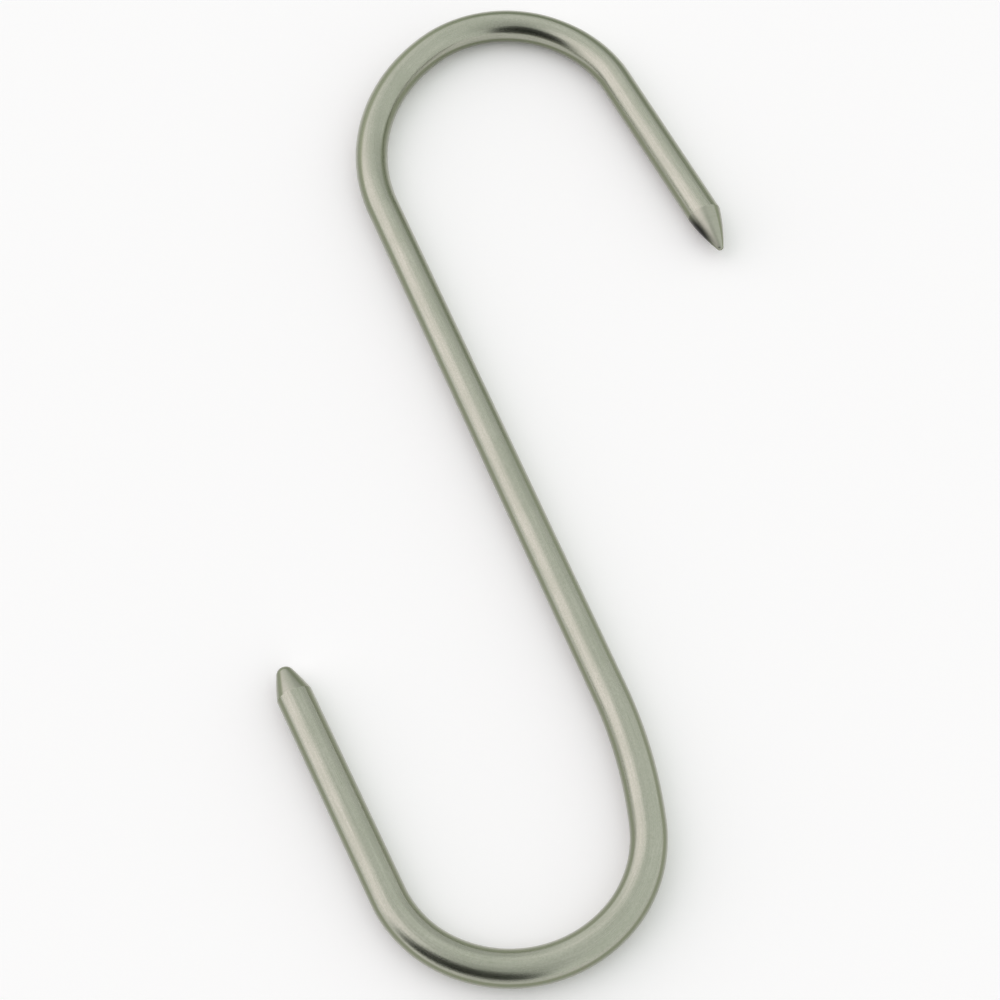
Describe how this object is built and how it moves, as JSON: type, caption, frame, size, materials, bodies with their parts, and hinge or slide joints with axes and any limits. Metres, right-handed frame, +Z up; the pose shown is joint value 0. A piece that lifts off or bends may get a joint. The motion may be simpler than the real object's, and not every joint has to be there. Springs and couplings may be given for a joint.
{
  "type": "s hook",
  "caption": "Butcher's S hook bent from one round steel wire, with a longer upper bend to hang over a rail and both ends ground to a point.",
  "frame": {"origin": "under the middle of the hook's box, on the surface that it lies on", "axes": "+Y along the shank toward the upper bend, +X toward the upper point, +Z up out of the plane of the hook, which lies on its side"},
  "size_m": [0.0902, 0.15, 0.005],
  "materials": {
    "steel": "satin drawn stainless wire with ground points"
  },
  "bodies": {
    "root": {"hook": "steel"}
  },
  "joints": []
}
